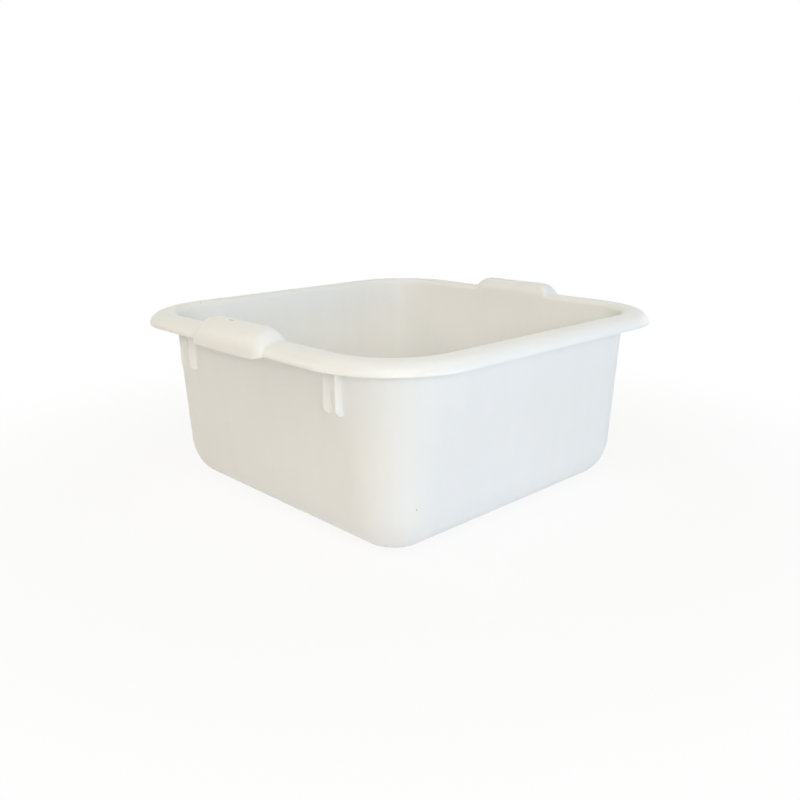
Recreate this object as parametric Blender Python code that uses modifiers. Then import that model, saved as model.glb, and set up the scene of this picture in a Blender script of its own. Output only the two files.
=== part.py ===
# A square washing basin, injection-moulded in one skin of white polypropylene.
# +Z is up, the grips are in the +X and -X sides, and the foot stands at z = 0.

from math import cos, radians, sin, sqrt, tan

import bmesh
import bpy

# Driving dimensions, in metres
RIM_SIDE = 0.350  # lip to lip, the same both ways
RIM_HEIGHT = 0.1494  # from the ground to the crest of the rim
WALL = 0.002  # the skin, even throughout
RIM_OVERHANG = 0.0216  # from the tub's outer wall to the lip, at the crest
DRAFT = radians(4.34)  # lean of the tub's walls
CORNER_TOP = 0.0538  # outer corner radius of the tub, at the crest
CORNER_BASE = 0.0347  # the same, where the walls' lines reach the ground

BASE_FILLET_RISE = 0.0375  # elliptical rounding from the walls into the floor
BASE_FILLET_RUN = 0.0272
FOOT_WIDTH = 0.012  # flat band that the basin stands on
FOOT_DEPTH = 0.0015  # how far the floor panel lies above the foot
FOOT_SLOPE = 0.002  # run of the step between them

INNER_ROUNDING = 0.005  # from the inner wall over to the crest
OUTER_ROUNDING_RUN = 0.014  # from the crest out to the lip
LIP_DROP = 0.009  # from the crest down to the lip's edge

GRIP_RISE = 0.009  # crest of a grip above the rim's crest
GRIP_REACH = 0.0055  # lip of a grip beyond the rim's lip
GRIP_SAG = 0.002  # lip of a grip below the rim's lip
GRIP_CREST = 0.0074  # middle of a grip's crest, outwards of the tub's outer wall
GRIP_FLAT = 0.003  # width of that crest
GRIP_LENGTH_IN = 0.0865  # length over the basin's inner edge
GRIP_LENGTH_LIP = 0.0905  # length at the lip
GRIP_END_IN = 0.0125  # run of a grip's rounded ends over the inner edge
GRIP_END_LIP = 0.0085  # the same at the lip
GRIP_ROOT = 0.0012  # soft run from an end into the rim

STACK_PITCH = 0.045  # height that each basin adds to a nested stack
RIB_THICKNESS = 0.0028
RIB_DEPTH = 0.0069  # how far a rib's foot stands out from the wall
RIB_CHAMFER = 0.0035
RIB_PAIR = 0.0122  # centre to centre within a pair
RIB_INSET = 0.0040  # from the start of the corner to the pair's middle

GATE_WELL_RADIUS = 0.006  # dimple under the floor where the mould was filled
GATE_WELL_DEPTH = 0.0006
GATE_NUB_RADIUS = 0.0016
GATE_NUB_HEIGHT = 0.0004

# Facets
CORNER_STEPS = 12
FILLET_STEPS = 6
WALL_STEPS = 2
INNER_STEPS = 5
OUTER_STEPS = 8
GRIP_END_STEPS = 6
GRIP_END_TURN = radians(84)
ROUND_SEGMENTS = 24

# Places that follow from the sizes above
TUB_HALF = RIM_SIDE / 2 - RIM_OVERHANG
OFFSET_IN = -WALL
OFFSET_LIP = RIM_OVERHANG
QUARTER_TURN = radians(90)


def tub_half(height):
    """Half the tub's outer width at a height."""
    return TUB_HALF - (RIM_HEIGHT - height) * tan(DRAFT)


def tub_corner(height):
    """The tub's outer corner radius at a height."""
    return CORNER_BASE + (CORNER_TOP - CORNER_BASE) * height / RIM_HEIGHT


def grip_stations(offset):
    """Distances from the middle of a side, each with its share of the grip's swell."""
    along = (offset - OFFSET_IN) / (OFFSET_LIP - OFFSET_IN)
    half_length = (GRIP_LENGTH_IN + (GRIP_LENGTH_LIP - GRIP_LENGTH_IN) * along) / 2
    end = GRIP_END_IN + (GRIP_END_LIP - GRIP_END_IN) * along
    flat = half_length - end
    stations = [(0, 1), (flat / 2, 1)]
    for step in range(GRIP_END_STEPS + 1):
        turn = GRIP_END_TURN * step / GRIP_END_STEPS
        stations.append((flat + end * sin(turn), cos(turn)))
    stations.append((half_length + GRIP_ROOT, 0))
    return stations


def ring_points(half, corner, height, stations, swell=(0, 0)):
    """A quarter of one ring round the basin, from the middle of +X to the middle of +Y."""
    reach, rise = swell
    points = [(half + share * reach, along, height + share * rise) for along, share in stations]
    centre = half - corner
    for step in range(CORNER_STEPS + 1):
        turn = QUARTER_TURN * step / CORNER_STEPS
        points.append((centre + corner * cos(turn), centre + corner * sin(turn), height))
    points.append((0, half, height))
    return points


def floor_and_wall_rings():
    """Rings of the inner face, from the floor panel out to the foot and up the wall."""
    stations = grip_stations(OFFSET_IN)
    skin = WALL / cos(DRAFT)
    half = tub_half(BASE_FILLET_RISE) - skin
    corner = tub_corner(BASE_FILLET_RISE) - WALL
    run = BASE_FILLET_RUN - WALL
    rise = BASE_FILLET_RISE - WALL
    band = run + FOOT_WIDTH
    panel = band + FOOT_SLOPE
    panel_height = WALL + FOOT_DEPTH
    corner_foot = corner - run
    rings = [
        ring_points(half - panel, corner_foot, panel_height, stations),
        ring_points(half - band, corner_foot, WALL, stations),
    ]
    for step in range(FILLET_STEPS + 1):
        turn = QUARTER_TURN * step / FILLET_STEPS
        inset = run * (1 - sin(turn))
        height = WALL + rise * (1 - cos(turn))
        rings.append(ring_points(half - inset, corner - inset, height, stations))
    top = RIM_HEIGHT - INNER_ROUNDING
    for step in range(1, WALL_STEPS):
        height = BASE_FILLET_RISE + (top - BASE_FILLET_RISE) * step / WALL_STEPS
        rings.append(
            ring_points(tub_half(height) - skin, tub_corner(height) - WALL, height, stations)
        )
    return rings


def rim_sections():
    """Pairs of (offset, height): the plain rim's section and the grip's, inside to lip."""
    sections = []
    grip_top = RIM_HEIGHT + GRIP_RISE
    root = RIM_HEIGHT - INNER_ROUNDING
    grip_in = GRIP_CREST - GRIP_FLAT / 2
    for step in range(INNER_STEPS + 1):
        turn = QUARTER_TURN * step / INNER_STEPS
        plain = (OFFSET_IN + INNER_ROUNDING * (1 - cos(turn)), root + INNER_ROUNDING * sin(turn))
        raised = (
            OFFSET_IN + (grip_in - OFFSET_IN) * (1 - cos(turn)),
            root + (grip_top - root) * sin(turn),
        )
        sections.append((plain, raised))
    lip = RIM_HEIGHT - LIP_DROP
    grip_lip = lip - GRIP_SAG
    crest_end = RIM_OVERHANG - OUTER_ROUNDING_RUN
    grip_out = GRIP_CREST + GRIP_FLAT / 2
    for step in range(OUTER_STEPS + 1):
        turn = QUARTER_TURN * step / OUTER_STEPS
        plain = (crest_end + OUTER_ROUNDING_RUN * sin(turn), lip + LIP_DROP * cos(turn))
        raised = (
            grip_out + (RIM_OVERHANG + GRIP_REACH - grip_out) * sin(turn),
            grip_lip + (grip_top - grip_lip) * cos(turn),
        )
        sections.append((plain, raised))
    return sections


def rim_rings():
    """Rings of the rim's upper face, with the grip's swell in each."""
    rings = []
    for (offset, height), (grip_offset, grip_height) in rim_sections():
        stations = grip_stations(offset)
        swell = (grip_offset - offset, grip_height - height)
        rings.append(
            ring_points(TUB_HALF + offset, CORNER_TOP + offset, height, stations, swell)
        )
    return rings


def loft_quarter(rings):
    """One quarter of the inner and upper face: its floor panel, then ring after ring."""
    mesh = bmesh.new()
    rows = [[mesh.verts.new(point) for point in ring] for ring in rings]
    floor_height = rings[0][0][2]
    centre = mesh.verts.new((0, 0, floor_height))
    mesh.faces.new([centre] + rows[0])
    for inner, outer in zip(rows, rows[1:]):
        for column in range(len(inner) - 1):
            mesh.faces.new(
                (inner[column], outer[column], outer[column + 1], inner[column + 1])
            )
    return mesh


def rim_middle_height(offset):
    """Height of the middle of the skin where the wall rounds over into the crest."""
    centre = OFFSET_IN + INNER_ROUNDING
    radius = INNER_ROUNDING - WALL / 2
    if offset >= centre:
        return RIM_HEIGHT - WALL / 2
    return RIM_HEIGHT - INNER_ROUNDING + sqrt(max(radius**2 - (offset - centre) ** 2, 0))


def rib_outline():
    """Side view of a stacking rib, rooted in the middle of the wall and of the rim."""
    foot = RIM_HEIGHT - STACK_PITCH
    outer = tub_half(foot) + RIB_DEPTH
    root = -WALL / 2
    outline = [
        (tub_half(foot) + root, foot),
        (outer - RIB_CHAMFER, foot),
        (outer, foot + RIB_CHAMFER),
    ]
    reach = outer - TUB_HALF
    for step in range(INNER_STEPS + 1):
        offset = reach + (root - reach) * step / INNER_STEPS
        outline.append((TUB_HALF + offset, rim_middle_height(offset)))
    return outline


def material(name, color, roughness):
    """A plain dielectric finish."""
    made = bpy.data.materials.new(name)
    made.use_nodes = True
    shader = made.node_tree.nodes["Principled BSDF"]
    shader.inputs["Base Color"].default_value = (*color, 1)
    shader.inputs["Roughness"].default_value = roughness
    shader.inputs["Metallic"].default_value = 0
    made.diffuse_color = (*color, 1)
    return made


def add_object(name, mesh, collection):
    """Puts a bmesh in the scene as an object."""
    data = bpy.data.meshes.new(name)
    mesh.to_mesh(data)
    mesh.free()
    made = bpy.data.objects.new(name, data)
    collection.objects.link(made)
    return made


def add_tool(name, mesh, collection):
    """A blank that a Boolean joins or cuts, and that isn't a part itself."""
    made = add_object(name, mesh, collection)
    made.hide_render = True
    made.display_type = "WIRE"
    return made


def mirror_twice(made):
    """Mirrors a quarter over both middle planes."""
    mirror = made.modifiers.new("both_ways", "MIRROR")
    mirror.use_axis = (True, True, False)
    mirror.merge_threshold = 0.00001


def boolean(target, tool, operation):
    """Joins a blank to the basin, or cuts it out."""
    modifier = target.modifiers.new(tool.name, "BOOLEAN")
    modifier.operation = operation
    modifier.solver = "EXACT"
    modifier.object = tool


def make_rib_blanks(collection):
    """The pair of ribs at one end of a grip side, mirrored to all four ends."""
    mesh = bmesh.new()
    middle = TUB_HALF - CORNER_TOP - RIB_INSET
    for side in (-1, 1):
        start = middle + side * RIB_PAIR / 2 - RIB_THICKNESS / 2
        face = mesh.faces.new([mesh.verts.new((x, start, z)) for x, z in rib_outline()])
        grown = bmesh.ops.extrude_face_region(mesh, geom=[face])
        moved = [item for item in grown["geom"] if isinstance(item, bmesh.types.BMVert)]
        bmesh.ops.translate(mesh, verts=moved, vec=(0, RIB_THICKNESS, 0))
    bmesh.ops.recalc_face_normals(mesh, faces=mesh.faces)
    made = add_tool("stacking_ribs", mesh, collection)
    mirror_twice(made)
    return made


def make_disc(name, radius, bottom, top, collection):
    """A short upright cylinder on the basin's middle line."""
    mesh = bmesh.new()
    bmesh.ops.create_cone(
        mesh,
        cap_ends=True,
        segments=ROUND_SEGMENTS,
        radius1=radius,
        radius2=radius,
        depth=top - bottom,
    )
    bmesh.ops.translate(mesh, verts=mesh.verts, vec=(0, 0, (top + bottom) / 2))
    return add_tool(name, mesh, collection)


def make_basin(parts, tools):
    """The whole moulding: skin, rim, grips, stacking ribs and the gate's dimple."""
    mesh = loft_quarter(floor_and_wall_rings() + rim_rings())
    bmesh.ops.recalc_face_normals(mesh, faces=mesh.faces)
    basin = add_object("basin", mesh, parts)
    basin.data.shade_smooth()
    basin.data.materials.append(material("white_polypropylene", (0.83, 0.83, 0.80), 0.38))
    mirror_twice(basin)
    skin = basin.modifiers.new("skin", "SOLIDIFY")
    skin.thickness = WALL
    skin.offset = -1
    skin.use_even_offset = True
    skin.use_quality_normals = True
    boolean(basin, make_rib_blanks(tools), "UNION")
    well_top = FOOT_DEPTH + GATE_WELL_DEPTH
    well = make_disc("gate_well", GATE_WELL_RADIUS, 0, well_top, tools)
    boolean(basin, well, "DIFFERENCE")
    nub_bottom = well_top - GATE_NUB_HEIGHT
    nub = make_disc("gate_nub", GATE_NUB_RADIUS, nub_bottom, FOOT_DEPTH + WALL / 2, tools)
    boolean(basin, nub, "UNION")
    return basin


def main():
    """Clears the scene and builds the basin."""
    for old in list(bpy.data.objects):
        bpy.data.objects.remove(old, do_unlink=True)
    parts = bpy.data.collections.new("square_basin")
    tools = bpy.data.collections.new("cutters")
    bpy.context.scene.collection.children.link(parts)
    bpy.context.scene.collection.children.link(tools)
    make_basin(parts, tools)


main()
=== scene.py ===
# A square washing basin of white polypropylene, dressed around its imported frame.
# Lengths are in metres and +Z is up. The grips are in the +X and -X sides, and the foot stands at
# z = 0.

from math import cos, radians, sin, tan

import bmesh
import bpy
from mathutils import Matrix, Vector


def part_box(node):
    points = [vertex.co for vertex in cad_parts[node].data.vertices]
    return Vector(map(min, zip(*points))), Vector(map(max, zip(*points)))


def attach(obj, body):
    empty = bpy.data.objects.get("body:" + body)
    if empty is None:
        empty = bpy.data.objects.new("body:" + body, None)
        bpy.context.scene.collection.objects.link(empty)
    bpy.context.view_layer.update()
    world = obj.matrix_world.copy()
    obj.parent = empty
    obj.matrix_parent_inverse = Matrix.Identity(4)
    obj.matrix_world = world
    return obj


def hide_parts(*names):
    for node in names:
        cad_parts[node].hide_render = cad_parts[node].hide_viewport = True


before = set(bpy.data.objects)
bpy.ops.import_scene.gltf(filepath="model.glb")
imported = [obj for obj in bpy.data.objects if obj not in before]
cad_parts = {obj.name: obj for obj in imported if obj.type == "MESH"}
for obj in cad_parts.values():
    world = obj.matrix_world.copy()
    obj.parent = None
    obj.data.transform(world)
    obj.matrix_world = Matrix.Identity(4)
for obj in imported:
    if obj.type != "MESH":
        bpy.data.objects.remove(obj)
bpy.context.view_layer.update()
print("frame loaded")


# Shape of the moulding

lowCorner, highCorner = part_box("basin")

basin = {
    "side": highCorner.y * 2,  # lip to lip
    "gripRise": 0.009,  # crest of a grip above the rim's crest
    "wall": 0.002,
    "overhang": 0.0216,  # from the tub's outer wall to the lip
    "draft": radians(4.34),
    "cornerTop": 0.0538,  # outer corner radius of the tub at the rim's crest
    "cornerBase": 0.0347,  # the same at the ground
    "filletRise": 0.0375,  # rounding from the walls into the floor
    "filletRun": 0.0272,
    "footWidth": 0.012,
    "footDepth": 0.0015,
    "footSlope": 0.002,
    "floorCrown": 0.0003,  # the floor panel's middle, above its edge
    "innerRounding": 0.005,
    "outerRun": 0.014,  # from the rim's crest out to the lip
    "lipDrop": 0.009,
    "lipSoftening": 0.0004,
    "lipSegments": 3,
    "lipAngle": radians(60),  # only edges sharper than this are softened
    "sharpAngle": radians(40),  # smaller folds are shaded smooth
    "sliver": 0.00003,  # vertices of the finished mesh that are nearer than this are merged
}
basin["rimHeight"] = highCorner.z - basin["gripRise"]
basin["tubHalf"] = basin["side"] / 2 - basin["overhang"]
coincident = 1e-6  # vertices nearer than this are one

grip = {
    "reach": highCorner.x - highCorner.y,  # lip of a grip beyond the rim's lip
    "sag": 0.002,
    "crest": 0.0074,  # middle of its crest, outwards of the tub's outer wall
    "flat": 0.003,
    "lengthIn": 0.0863,
    "lengthLip": 0.0903,
    "endIn": 0.016,  # run of its rounded ends, over the inner edge and at the lip
    "endLip": 0.0105,
    "endStart": 2.2,  # exponents of those ends: above 2 they start without a ridge
    "finishIn": 1.8,
    "finishLip": 1.35,  # nearer 1 they run out flatter
    "endTurn": radians(80),  # where the rounded end meets the fillet at its root
    "root": 0.0012,
}

steps = {
    "gripMiddle": 6,
    "gripEnd": 12,
    "gripRoot": 4,
    "sideToCorner": 7,
    "corner": 30,
    "plainSide": 11,
    "floor": 6,
    "footSlope": 3,
    "foot": 2,
    "fillet": 16,
    "wall": 12,
    "innerRounding": 10,
    "crest": 2,
    "outerRounding": 20,
}


def tubHalf(height):
    return basin["tubHalf"] - (basin["rimHeight"] - height) * tan(basin["draft"])


def tubCorner(height):
    share = height / basin["rimHeight"]
    return basin["cornerBase"] + (basin["cornerTop"] - basin["cornerBase"]) * share


def gripStations(offset):
    # (distance from the middle of the side, share of the grip's swell there)
    along = (offset + basin["wall"]) / (basin["overhang"] + basin["wall"])
    halfLength = (grip["lengthIn"] * (1 - along) + grip["lengthLip"] * along) / 2
    end = grip["endIn"] * (1 - along) + grip["endLip"] * along
    finish = grip["finishIn"] * (1 - along) + grip["finishLip"] * along
    flat = halfLength - end
    stations = [(flat * i / steps["gripMiddle"], 1) for i in range(steps["gripMiddle"])]
    for i in range(steps["gripEnd"] + 1):
        turn = grip["endTurn"] * i / steps["gripEnd"]
        run = sin(turn) ** (2 / grip["endStart"])
        stations.append((flat + end * run, cos(turn) ** (2 / finish)))
    start = Vector(stations.pop())
    knee = Vector((halfLength, 0))
    last = Vector((halfLength + grip["root"], 0))
    for i in range(steps["gripRoot"] + 1):
        t = i / steps["gripRoot"]
        point = start * (1 - t) ** 2 + knee * 2 * t * (1 - t) + last * t**2
        stations.append((point.x, point.y))
    return stations


def ringPoints(half, corner, height, stations, swell=(0, 0)):
    # a quarter of one ring round the basin, from the middle of +X to the middle of +Y
    reach, rise = swell
    centre = half - corner
    points = [Vector((half + share * reach, y, height + share * rise)) for y, share in stations]
    last = stations[-1][0]
    for i in range(1, steps["sideToCorner"]):
        points.append(Vector((half, last + (centre - last) * i / steps["sideToCorner"], height)))
    for i in range(steps["corner"] + 1):
        turn = radians(90) * i / steps["corner"]
        points.append(Vector((centre + corner * cos(turn), centre + corner * sin(turn), height)))
    for i in range(1, steps["plainSide"] + 1):
        points.append(Vector((centre * (1 - i / steps["plainSide"]), half, height)))
    return points


def tubRings():
    # rings of the inner face, from the middle of the floor to the top of the wall
    wall = basin["wall"]
    skin = wall / cos(basin["draft"])
    stations = gripStations(-wall)
    half = tubHalf(basin["filletRise"]) - skin
    corner = tubCorner(basin["filletRise"]) - wall
    run = basin["filletRun"] - wall
    rise = basin["filletRise"] - wall
    footIn = half - run - basin["footWidth"]
    panelHalf = footIn - basin["footSlope"]
    panelCorner = corner - run
    rings = []
    for i in range(1, steps["floor"] + 1):  # the panel, a little higher in its middle
        share = i / steps["floor"]
        lift = basin["footDepth"] + basin["floorCrown"] * (1 - share**2)
        panelStations = [(y * share, swell) for y, swell in stations]
        rings.append(ringPoints(panelHalf * share, panelCorner * share, wall + lift, panelStations))
    for i in range(1, steps["footSlope"] + 1):
        share = i / steps["footSlope"]
        eased = share**2 * (3 - 2 * share)
        rings.append(
            ringPoints(
                panelHalf + basin["footSlope"] * share,
                panelCorner,
                wall + basin["footDepth"] * (1 - eased),
                stations,
            )
        )
    for i in range(1, steps["foot"]):
        inset = basin["footWidth"] * i / steps["foot"]
        rings.append(ringPoints(footIn + inset, panelCorner, wall, stations))
    for i in range(steps["fillet"] + 1):
        turn = radians(90) * i / steps["fillet"]
        inset = run * (1 - sin(turn))
        height = wall + rise * (1 - cos(turn))
        rings.append(ringPoints(half - inset, corner - inset, height, stations))
    top = basin["rimHeight"] - basin["innerRounding"]
    for i in range(1, steps["wall"]):
        height = basin["filletRise"] + (top - basin["filletRise"]) * i / steps["wall"]
        rings.append(ringPoints(tubHalf(height) - skin, tubCorner(height) - wall, height, stations))
    return rings


def arc(start, end, count, first):
    # a quarter ellipse between two (offset, height) points: upright at one end, level at the other
    (x0, z0), (x1, z1) = start, end
    points = []
    for i in range(first, count + 1):
        turn = radians(90) * i / count
        if z1 > z0:
            points.append((x0 + (x1 - x0) * (1 - cos(turn)), z0 + (z1 - z0) * sin(turn)))
        else:
            points.append((x0 + (x1 - x0) * sin(turn), z1 + (z0 - z1) * cos(turn)))
    return points


def sectionLine(root, crestIn, crestOut, lip):
    # one rim section, from the top of the wall over the crest to the lip
    points = arc(root, crestIn, steps["innerRounding"], 0)
    for i in range(1, steps["crest"]):
        share = i / steps["crest"]
        points.append((crestIn[0] + (crestOut[0] - crestIn[0]) * share, crestIn[1]))
    return points + arc(crestOut, lip, steps["outerRounding"], 0)


def rimRings():
    crest = basin["rimHeight"]
    root = (-basin["wall"], crest - basin["innerRounding"])
    lip = (basin["overhang"], crest - basin["lipDrop"])
    plain = sectionLine(
        root,
        (root[0] + basin["innerRounding"], crest),
        (lip[0] - basin["outerRun"], crest),
        lip,
    )
    top = crest + basin["gripRise"]
    raised = sectionLine(
        root,
        (grip["crest"] - grip["flat"] / 2, top),
        (grip["crest"] + grip["flat"] / 2, top),
        (lip[0] + grip["reach"], lip[1] - grip["sag"]),
    )
    rings = []
    for (offset, height), (gripOffset, gripHeight) in zip(plain, raised):
        rings.append(
            ringPoints(
                basin["tubHalf"] + offset,
                basin["cornerTop"] + offset,
                height,
                gripStations(offset),
                (gripOffset - offset, gripHeight - height),
            )
        )
    return rings


def addPiece(name, mesh):
    data = bpy.data.meshes.new(name)
    mesh.to_mesh(data)
    mesh.free()
    piece = bpy.data.objects.new(name, data)
    bpy.context.scene.collection.objects.link(piece)
    return piece


def mirrorBothWays(mesh, mergeDistance):
    for axis in ("X", "Y"):
        bmesh.ops.mirror(
            mesh,
            geom=mesh.verts[:] + mesh.edges[:] + mesh.faces[:],
            matrix=Matrix.Identity(4),
            merge_dist=mergeDistance,
            axis=axis,
        )


def makeSkin():
    # a flat grid is laid along the quarter's rings, mirrored both ways, and closed in its middle
    rings = tubRings() + rimRings()
    columns = len(rings[0])
    mesh = bmesh.new()
    bmesh.ops.create_grid(mesh, x_segments=columns - 1, y_segments=len(rings) - 1, size=1)
    for vert in mesh.verts:
        column = round((vert.co.x + 1) / 2 * (columns - 1))
        ring = round((vert.co.y + 1) / 2 * (len(rings) - 1))
        vert.co = rings[ring][column]
    mirrorBothWays(mesh, coincident)
    bmesh.ops.remove_doubles(mesh, verts=mesh.verts, dist=coincident)
    borders = [edge for edge in mesh.edges if edge.is_boundary]
    middle = [edge for edge in borders if edge.verts[0].co.z < basin["filletRise"]]
    bmesh.ops.edgeloop_fill(mesh, edges=middle)
    bmesh.ops.recalc_face_normals(mesh, faces=mesh.faces)
    return addPiece("washingBasin", mesh)


# Stacking ribs

rib = {
    "stackPitch": 0.045,  # a nested basin's rim comes this far below
    "thickness": 0.0028,
    "depth": 0.0069,  # how far its foot stands out from the wall
    "chamfer": 0.0035,
    "pair": 0.0122,
    "inset": 0.0040,  # from the start of the corner to the pair's middle
    "seat": 0.0002,  # its root's corners lie this far inside the wall's face
    "fillet": 0.0008,
    "filletSegments": 4,
    "leaning": 1.2,  # what stands out less than this many fillets leans with the wall
    "softening": 0.0003,
    "softeningSegments": 3,
}


def cutOff(mesh, point, normal):
    # takes off what lies beyond a plane and closes the cut
    cut = bmesh.ops.bisect_plane(
        mesh,
        geom=mesh.verts[:] + mesh.edges[:] + mesh.faces[:],
        plane_co=point,
        plane_no=normal,
        clear_outer=True,
    )
    edges = [item for item in cut["geom_cut"] if isinstance(item, bmesh.types.BMEdge)]
    bmesh.ops.edgeloop_fill(mesh, edges=edges)


def roundCorners(mesh, corners, width, segments):
    bmesh.ops.bevel(
        mesh,
        geom=corners,
        offset=width,
        segments=segments,
        profile=0.5,
        affect="VERTICES",
        material=-1,
    )


def makeRib(middle):
    # one web: the outline of its foot, at stacking height, extruded up into the rim's skin
    foot = basin["rimHeight"] - rib["stackPitch"]
    wallOut = tubHalf(foot)
    wallMiddle = wallOut - basin["wall"] / 2
    wallNear = wallOut - rib["seat"]
    outer = wallOut + rib["depth"]
    half = rib["thickness"] / 2
    flare = half + rib["fillet"] + rib["seat"]
    outline = [(wallMiddle, -flare), (wallNear, -flare), (wallNear, -half), (outer, -half)]
    outline += [(x, -y) for x, y in reversed(outline)]
    mesh = bmesh.new()
    face = mesh.faces.new([mesh.verts.new((x, middle + y, foot)) for x, y in outline])
    roots = [vert for vert in mesh.verts if abs(vert.co.x - wallNear) < coincident]
    roots = [vert for vert in roots if abs(abs(vert.co.y - middle) - half) < coincident]
    roundCorners(mesh, roots, rib["fillet"], rib["filletSegments"])
    tips = [vert for vert in mesh.verts if abs(vert.co.x - outer) < coincident]
    roundCorners(mesh, tips, rib["softening"], rib["softeningSegments"])
    top = basin["rimHeight"] - basin["wall"] / 2
    grown = bmesh.ops.extrude_face_region(mesh, geom=mesh.faces[:])
    for item in grown["geom"]:
        if isinstance(item, bmesh.types.BMVert):
            item.co.z = top
            if item.co.x < wallNear + rib["fillet"] * rib["leaning"]:
                item.co.x += (top - foot) * tan(basin["draft"])
    bmesh.ops.recalc_face_normals(mesh, faces=mesh.faces)
    cutOff(mesh, (outer, 0, foot + rib["chamfer"]), (1, 0, -1))
    cutOff(mesh, (basin["tubHalf"] + basin["innerRounding"] - basin["wall"], 0, top), (-1, 0, 2))
    bmesh.ops.recalc_face_normals(mesh, faces=mesh.faces)
    return mesh


def makeRibs():
    middle = basin["tubHalf"] - basin["cornerTop"] - rib["inset"]
    ribs = bmesh.new()
    for side in (-1, 1):
        one = makeRib(middle + side * rib["pair"] / 2)
        data = bpy.data.meshes.new("rib")
        one.to_mesh(data)
        one.free()
        ribs.from_mesh(data)
        bpy.data.meshes.remove(data)
    mirrorBothWays(ribs, 0)
    bmesh.ops.recalc_face_normals(ribs, faces=ribs.faces)
    return addPiece("stackingRibs", ribs)


# The gate's dimple, under the middle of the floor

gate = {
    "wellRadius": 0.006,
    "wellDepth": 0.0006,
    "wellFlat": 0.95,  # share of its radius that is flat
    "nubRadius": 0.0016,
    "nubHeight": 0.0004,
    "nubFlat": 0.8,
    "segments": 48,
}


def makeGateCutter():
    panel = basin["footDepth"] + basin["floorCrown"]
    top = panel + gate["wellDepth"]
    nub = top - gate["nubHeight"]
    below = -basin["wall"]
    profile = [
        (0, nub),
        (gate["nubRadius"] * gate["nubFlat"], nub),
        (gate["nubRadius"], top),
        (gate["wellRadius"] * gate["wellFlat"], top),
        (gate["wellRadius"], panel),
        (gate["wellRadius"], below),
        (0, below),
    ]
    mesh = bmesh.new()
    verts = [mesh.verts.new((x, 0, z)) for x, z in profile]
    edges = [mesh.edges.new(pair) for pair in zip(verts, verts[1:])]
    bmesh.ops.spin(
        mesh,
        geom=verts + edges,
        cent=(0, 0, 0),
        axis=(0, 0, 1),
        angle=radians(360),
        steps=gate["segments"],
        use_merge=True,
    )
    bmesh.ops.remove_doubles(mesh, verts=mesh.verts, dist=coincident)
    bmesh.ops.recalc_face_normals(mesh, faces=mesh.faces)
    return addPiece("gateCutter", mesh)


def addBoolean(target, tool, operation):
    modifier = target.modifiers.new(tool.name, "BOOLEAN")
    modifier.operation = operation
    modifier.solver = "EXACT"
    modifier.object = tool


def closeSlits(data):
    # merges away the slits and slivers that the lip's bevel and the Booleans leave
    mesh = bmesh.new()
    mesh.from_mesh(data)
    bmesh.ops.remove_doubles(mesh, verts=mesh.verts, dist=basin["sliver"])
    bmesh.ops.recalc_face_normals(mesh, faces=mesh.faces)
    mesh.to_mesh(data)
    mesh.free()


def makeBasin():
    piece = makeSkin()
    skin = piece.modifiers.new("skin", "SOLIDIFY")
    skin.thickness = basin["wall"]
    skin.offset = -1
    skin.use_even_offset = True
    skin.use_quality_normals = True
    lip = piece.modifiers.new("lip", "BEVEL")
    lip.width = basin["lipSoftening"]
    lip.segments = basin["lipSegments"]
    lip.limit_method = "ANGLE"
    lip.angle_limit = basin["lipAngle"]
    ribs = makeRibs()
    cutter = makeGateCutter()
    addBoolean(piece, ribs, "UNION")
    addBoolean(piece, cutter, "DIFFERENCE")
    graph = bpy.context.evaluated_depsgraph_get()
    data = bpy.data.meshes.new_from_object(piece.evaluated_get(graph))
    piece.modifiers.clear()
    piece.data = data
    for tool in (ribs, cutter):
        bpy.data.objects.remove(tool)
    closeSlits(data)
    data.shade_smooth()
    data.set_sharp_from_angle(angle=basin["sharpAngle"])
    return piece


washingBasin = makeBasin()
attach(washingBasin, "root")
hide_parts("basin")
print("basin modelled:", len(washingBasin.data.polygons), "faces")


# Materials


class Signal:
    # One output of a shader tree. Arithmetic on signals adds the Math nodes for it.
    def __init__(self, tree, socket=None):
        self.tree = tree
        self.socket = socket

    def node(self, kind, settings=None, inputs=None, output=0):
        made = self.tree.nodes.new(kind)
        for name, value in (settings or {}).items():
            setattr(made, name, value)
        for name, value in (inputs or {}).items():
            target = made.inputs[name]
            if isinstance(value, Signal):
                self.tree.links.new(value.socket, target)
            else:
                target.default_value = value
        return Signal(self.tree, made.outputs[output]) if len(made.outputs) else made

    def maths(self, operation, first, second=0.0):
        return self.node("ShaderNodeMath", {"operation": operation}, {0: first, 1: second})

    def __add__(self, other):
        return self.maths("ADD", self, other)

    def __sub__(self, other):
        return self.maths("SUBTRACT", self, other)

    def __rsub__(self, other):
        return self.maths("SUBTRACT", other, self)

    def __mul__(self, other):
        return self.maths("MULTIPLY", self, other)

    def within(self, low, high):
        # 0 at low, 1 at high, eased between and level beyond, also where low is the larger
        settings = {"interpolation_type": "SMOOTHSTEP"}
        inputs = {"Value": self, "From Min": low, "From Max": high}
        return self.node("ShaderNodeMapRange", settings, inputs)

    __radd__ = __add__
    __rmul__ = __mul__


def startMaterial(name):
    material = bpy.data.materials.new(name)
    material.use_nodes = True
    material.node_tree.nodes.clear()
    return material, Signal(material.node_tree)


polypropylene = {
    "color": (0.93, 0.93, 0.915),
    "flowColor": (0.905, 0.895, 0.865),  # faint clouds where the melt cooled more slowly
    "wornColor": (0.70, 0.68, 0.64),
    "markColor": (0.30, 0.29, 0.27),
    "roughness": 0.33,
    "ior": 1.49,
    "scatter": 0.80,  # share of the light that goes into the plastic
    "scatterReach": 0.006,
    "scatterColor": (1.0, 0.9, 0.8),
}

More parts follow.
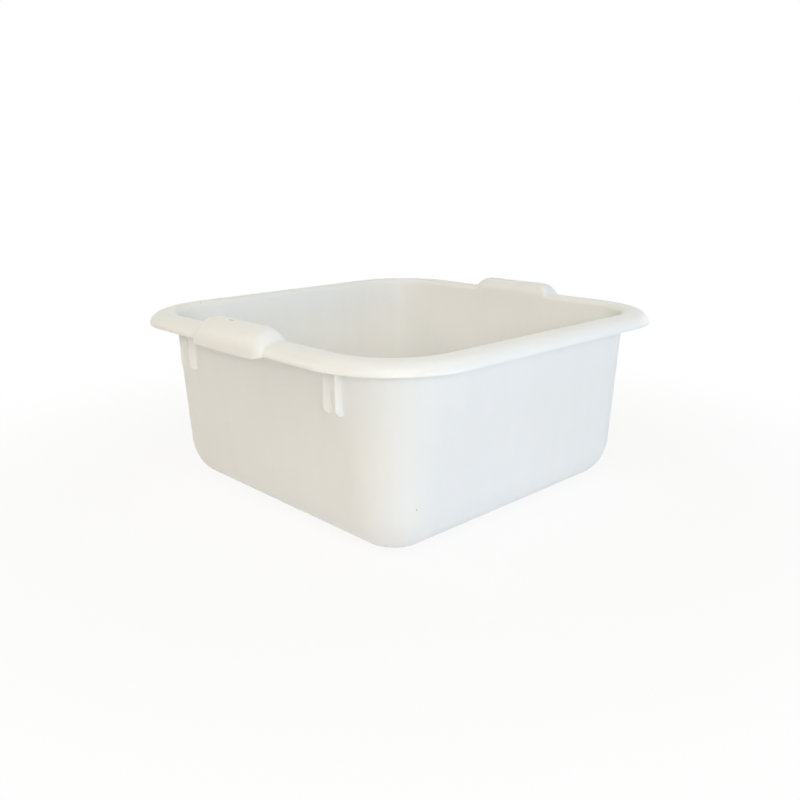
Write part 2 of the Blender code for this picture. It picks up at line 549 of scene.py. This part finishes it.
# Noise patterns: scale per metre, the part of their range that fades in, and the place's stretch
patterns = {
    "flow": {"scale": 9, "detail": 3, "fade": (0.35, 0.70)},
    "streaks": {"scale": 70, "detail": 3, "fade": (0.40, 0.70), "stretch": (1, 1, 0.08)},
    "grain": {"scale": 2400, "detail": 2},
    "peel": {"scale": 95, "detail": 1},
    "patches": {"scale": 46, "detail": 4, "fade": (0.42, 0.60)},
    "scuffs": {"scale": 620, "detail": 3, "fade": (0.52, 0.68)},
    "scratches": {
        "scale": 1500, "detail": 1, "fade": (0.62, 0.76), "stretch": (0.02, 1, 0.04),
    },
}
scratchTurns = (radians(12), radians(57), radians(128))

# Heights between which each zone of use fades in: down to the foot, or up to the rim and the
# grips' crests
zones = {
    "foot": (0.0030, 0.0003),
    "low": (0.0300, 0.0020),
    "rim": (basin["rimHeight"] - 0.0120, basin["rimHeight"] - 0.0030),
    "crest": (highCorner.z - 0.0050, highCorner.z - 0.0005),
}

wear = {
    "flowTint": 0.50,
    "streakTint": 0.25,
    "footScuffs": 0.35,
    "lowScuffs": 0.10,
    "footScratches": 0.28,
    "lowScratches": 0.16,
    "rimScratches": 0.03,
    "flowRoughness": 0.06,
    "footRoughness": 0.14,
    "scuffRoughness": 0.10,
    "scratchRoughness": 0.16,
    "rimHandling": 0.25,  # wear on the rim, next to that low down
    "rimPolish": 0.015,
    "crestPolish": 0.025,
}
# Both polishes are weak: below a roughness of 0.274 the denoiser draws edges round the patches.

relief = {
    "grain": 0.00004,
    "smoothedGrain": 0.6,  # share of the grain that hands have worn off the grips
    "peel": 0.00010,
    "scratch": 0.000012,
    "mark": 0.00030,
}

# Marks that the photo shows: middle, half extents and how dark
marks = {
    "gripNick": {
        "middle": (-0.1636, 0.0100, 0.1583), "reach": (0.0012, 0.0046, 0.0010), "dark": 0.75,
    },
    "cornerDot": {
        "middle": (-0.1189, -0.1425, 0.0379), "reach": (0.0009, 0.0009, 0.0009), "dark": 0.55,
    },
    "rimSpeck": {
        "middle": (0.0014, 0.1539, 0.1487), "reach": (0.0012, 0.0010, 0.0010), "dark": 0.35,
    },
    "farSpeck": {
        "middle": (-0.1051, 0.1542, 0.1490), "reach": (0.0012, 0.0010, 0.0010), "dark": 0.35,
    },
}
markCore = 0.45  # share of a mark's reach that is fully dark


def makePolypropylene():
    material, start = startMaterial("whitePolypropylene")
    place = start.node("ShaderNodeTexCoord", output="Object")
    height = start.node("ShaderNodeSeparateXYZ", inputs={"Vector": place}, output="Z")

    def vectorMaths(operation, first, second=(0, 0, 0), output="Vector"):
        inputs = {0: first, 1: second}
        return start.node("ShaderNodeVectorMath", {"operation": operation}, inputs, output)

    def pattern(name, turn=0):
        values = patterns[name]
        vector = place
        if "stretch" in values:
            # turned first, as one Mapping would stretch it before it turns
            inputs = {"Vector": place, "Rotation": (0, 0, turn)}
            turned = start.node("ShaderNodeMapping", inputs=inputs)
            inputs = {"Vector": turned, "Scale": values["stretch"]}
            vector = start.node("ShaderNodeMapping", inputs=inputs)
        inputs = {"Vector": vector, "Scale": values["scale"], "Detail": values["detail"]}
        noise = start.node("ShaderNodeTexNoise", inputs=inputs)
        return noise.within(*values["fade"]) if "fade" in values else noise

    def blend(factor, first, second):
        inputs = {"Factor": factor, "A": first, "B": second}
        return start.node("ShaderNodeMix", {"data_type": "RGBA"}, inputs, "Result")

    foot, low, rim, crest = (height.within(*reach) for reach in zones.values())
    patches = pattern("patches")
    scuffs = pattern("scuffs") * patches
    scratches = sum(pattern("scratches", turn) for turn in scratchTurns) * patches
    flow = pattern("flow")

    # each listed mark is darkened in colour and pressed in a little, fading out from its core
    darkMarks = 0
    for mark in marks.values():
        offset = vectorMaths("SUBTRACT", place, mark["middle"])
        offset = vectorMaths("DIVIDE", offset, mark["reach"])
        distance = vectorMaths("LENGTH", offset, output="Value")
        darkMarks = distance.within(1, markCore) * mark["dark"] + darkMarks

    tint = flow * wear["flowTint"] + pattern("streaks") * wear["streakTint"]
    scuffed = foot * wear["footScuffs"] + low * wear["lowScuffs"]
    scratched = foot * wear["footScratches"] + low * wear["lowScratches"]
    worn = scuffs * scuffed + scratches * (scratched + rim * wear["rimScratches"])
    handled = low + rim * wear["rimHandling"]
    roughness = (
        flow * wear["flowRoughness"]
        + foot * wear["footRoughness"]
        + (scuffs * wear["scuffRoughness"] + scratches * wear["scratchRoughness"]) * handled
        - rim * wear["rimPolish"]
        - crest * wear["crestPolish"] * patches
        + polypropylene["roughness"]
    )
    depth = (
        pattern("grain") * relief["grain"] * (1 - crest * relief["smoothedGrain"])
        + pattern("peel") * relief["peel"]
        - scratches * handled * relief["scratch"]
        - darkMarks * relief["mark"]
    )
    color = blend(tint, (*polypropylene["color"], 1), (*polypropylene["flowColor"], 1))
    color = blend(worn, color, (*polypropylene["wornColor"], 1))
    color = blend(darkMarks, color, (*polypropylene["markColor"], 1))
    bump = start.node("ShaderNodeBump", inputs={"Strength": 1, "Distance": 1, "Height": depth})
    shader = start.node(
        "ShaderNodeBsdfPrincipled",
        inputs={
            "Base Color": color,
            "Roughness": roughness,
            "IOR": polypropylene["ior"],
            "Subsurface Weight": polypropylene["scatter"],
            "Subsurface Radius": polypropylene["scatterColor"],
            "Subsurface Scale": polypropylene["scatterReach"],
            "Normal": bump,
        },
    )
    start.node("ShaderNodeOutputMaterial", inputs={"Surface": shader})
    return material


washingBasin.data.materials.clear()
washingBasin.data.materials.append(makePolypropylene())
print("materials made")


# Floor, light and camera

studio = {
    "floorRadius": 3.0,
    "floorSegments": 96,
    "floorGap": 0.0001,  # keeps the foot's face and the floor apart
    "floorColor": (0.90, 0.90, 0.90),
    "worldColor": (1.0, 0.897, 0.702),
    "worldStrength": 0.259,
    "shadowReach": (0.24, 0.55),  # the floor turns to plain white between these distances
    "shadowShare": 0.88,  # how white it is within them already, so that the shadow stays faint
    "lampSize": 1.0,
}


def seenDirectly(start):
    # 1 for rays from the camera, mirrored or let through, and 0 for those that light the basin
    kinds = ("Camera", "Glossy", "Transmission")
    camera, glossy, through = (
        start.node("ShaderNodeLightPath", output=f"Is {kind} Ray") for kind in kinds
    )
    return start.maths("MAXIMUM", start.maths("MAXIMUM", camera, glossy), through)


def makeFloor():
    mesh = bmesh.new()
    bmesh.ops.create_circle(
        mesh, cap_ends=True, segments=studio["floorSegments"], radius=studio["floorRadius"]
    )
    floor = addPiece("floor", mesh)
    floor.location.z = -studio["floorGap"]
    material, start = startMaterial("paleFloor")
    place = start.node("ShaderNodeTexCoord", output="Object")
    distance = start.node("ShaderNodeVectorMath", {"operation": "LENGTH"}, {0: place}, "Value")
    plain = distance.within(*studio["shadowReach"])
    share = studio["shadowShare"]
    white = seenDirectly(start) * (plain * (1 - share) + share)
    diffuse = start.node("ShaderNodeBsdfDiffuse", inputs={"Color": (*studio["floorColor"], 1)})
    glow = start.node("ShaderNodeEmission", inputs={"Color": (1, 1, 1, 1), "Strength": 1})
    mixed = start.node("ShaderNodeMixShader", inputs={0: white, 1: diffuse, 2: glow})
    start.node("ShaderNodeOutputMaterial", inputs={"Surface": mixed})
    floor.data.materials.append(material)


def makeWorld():
    world = bpy.data.worlds.new("studioWorld")
    world.use_nodes = True
    world.node_tree.nodes.clear()
    start = Signal(world.node_tree)
    light = start.node(
        "ShaderNodeBackground",
        inputs={"Color": (*studio["worldColor"], 1), "Strength": studio["worldStrength"]},
    )
    white = start.node("ShaderNodeBackground", inputs={"Color": (1, 1, 1, 1), "Strength": 1})
    inputs = {0: seenDirectly(start), 1: light, 2: white}
    mixed = start.node("ShaderNodeMixShader", inputs=inputs)
    start.node("ShaderNodeOutputWorld", inputs={"Surface": mixed})
    bpy.context.scene.world = world


lamps = {
    "window": {
        "place": (-1.12, -1.44, 0.6), "size": 0.48, "power": 9.75, "color": (1.0, 0.993, 0.973),
    },
    "rightSky": {"place": (0.64, -1.77, 0.31), "power": 10.08, "color": (0.341, 0.629, 1.0)},
    "backRight": {"place": (1.89, 0.0, 0.31), "power": 2.1, "color": (1.0, 0.857, 0.81)},
    "frontMiddle": {"place": (-0.92, -1.32, 1.09), "power": 2.75, "color": (1.0, 0.869, 0.924)},
    "frontHigh": {"place": (-0.67, -0.67, 1.73), "power": 6.02, "color": (0.99, 1.0, 0.877)},
    "backLeft": {"place": (-1.14, 1.14, 1.09), "power": 5.59, "color": (1.0, 0.83, 0.619)},
    "backHigh": {"place": (0.0, 0.95, 1.73), "power": 2.6, "color": (0.546, 0.769, 1.0)},
    "rightHigh": {"place": (0.95, 0.0, 1.73), "power": 2.53, "color": (0.933, 1.0, 0.87)},
}


def makeLamps():
    target = Vector((0, 0, basin["rimHeight"] / 2))
    for name, lamp in lamps.items():
        light = bpy.data.lights.new(name, "AREA")
        light.shape = "DISK"
        light.size = lamp.get("size", studio["lampSize"])
        light.energy = lamp["power"]
        light.color = lamp["color"]
        made = bpy.data.objects.new(name, light)
        made.location = lamp["place"]
        made.rotation_euler = (target - made.location).to_track_quat("-Z", "Y").to_euler()
        bpy.context.scene.collection.objects.link(made)


view = {
    "turn": radians(-43.52),  # round the basin, from straight in front
    "lift": radians(15.62),
    "roll": radians(-0.31),
    "distance": 0.7504,
    "aimHeight": 0.0663,
    "lens": 37.40,
    "sensor": 36,
    "nearClip": 0.01,
    "shift": (0.0014, -0.0008),
}


def makeCamera():
    back = Vector((
        sin(view["turn"]) * cos(view["lift"]),
        -cos(view["turn"]) * cos(view["lift"]),
        sin(view["lift"]),
    ))
    camera = bpy.data.cameras.new("camera")
    camera.lens = view["lens"]
    camera.sensor_width = view["sensor"]
    camera.shift_x, camera.shift_y = view["shift"]
    camera.clip_start = view["nearClip"]
    made = bpy.data.objects.new("camera", camera)
    made.location = Vector((0, 0, view["aimHeight"])) + back * view["distance"]
    level = back.to_track_quat("Z", "Y").to_matrix()
    made.rotation_euler = (level @ Matrix.Rotation(view["roll"], 3, "Z")).to_euler()
    bpy.context.scene.collection.objects.link(made)
    bpy.context.scene.camera = made


makeFloor()
makeWorld()
makeLamps()
makeCamera()
bpy.context.scene.view_settings.view_transform = "Standard"
print("stage set")
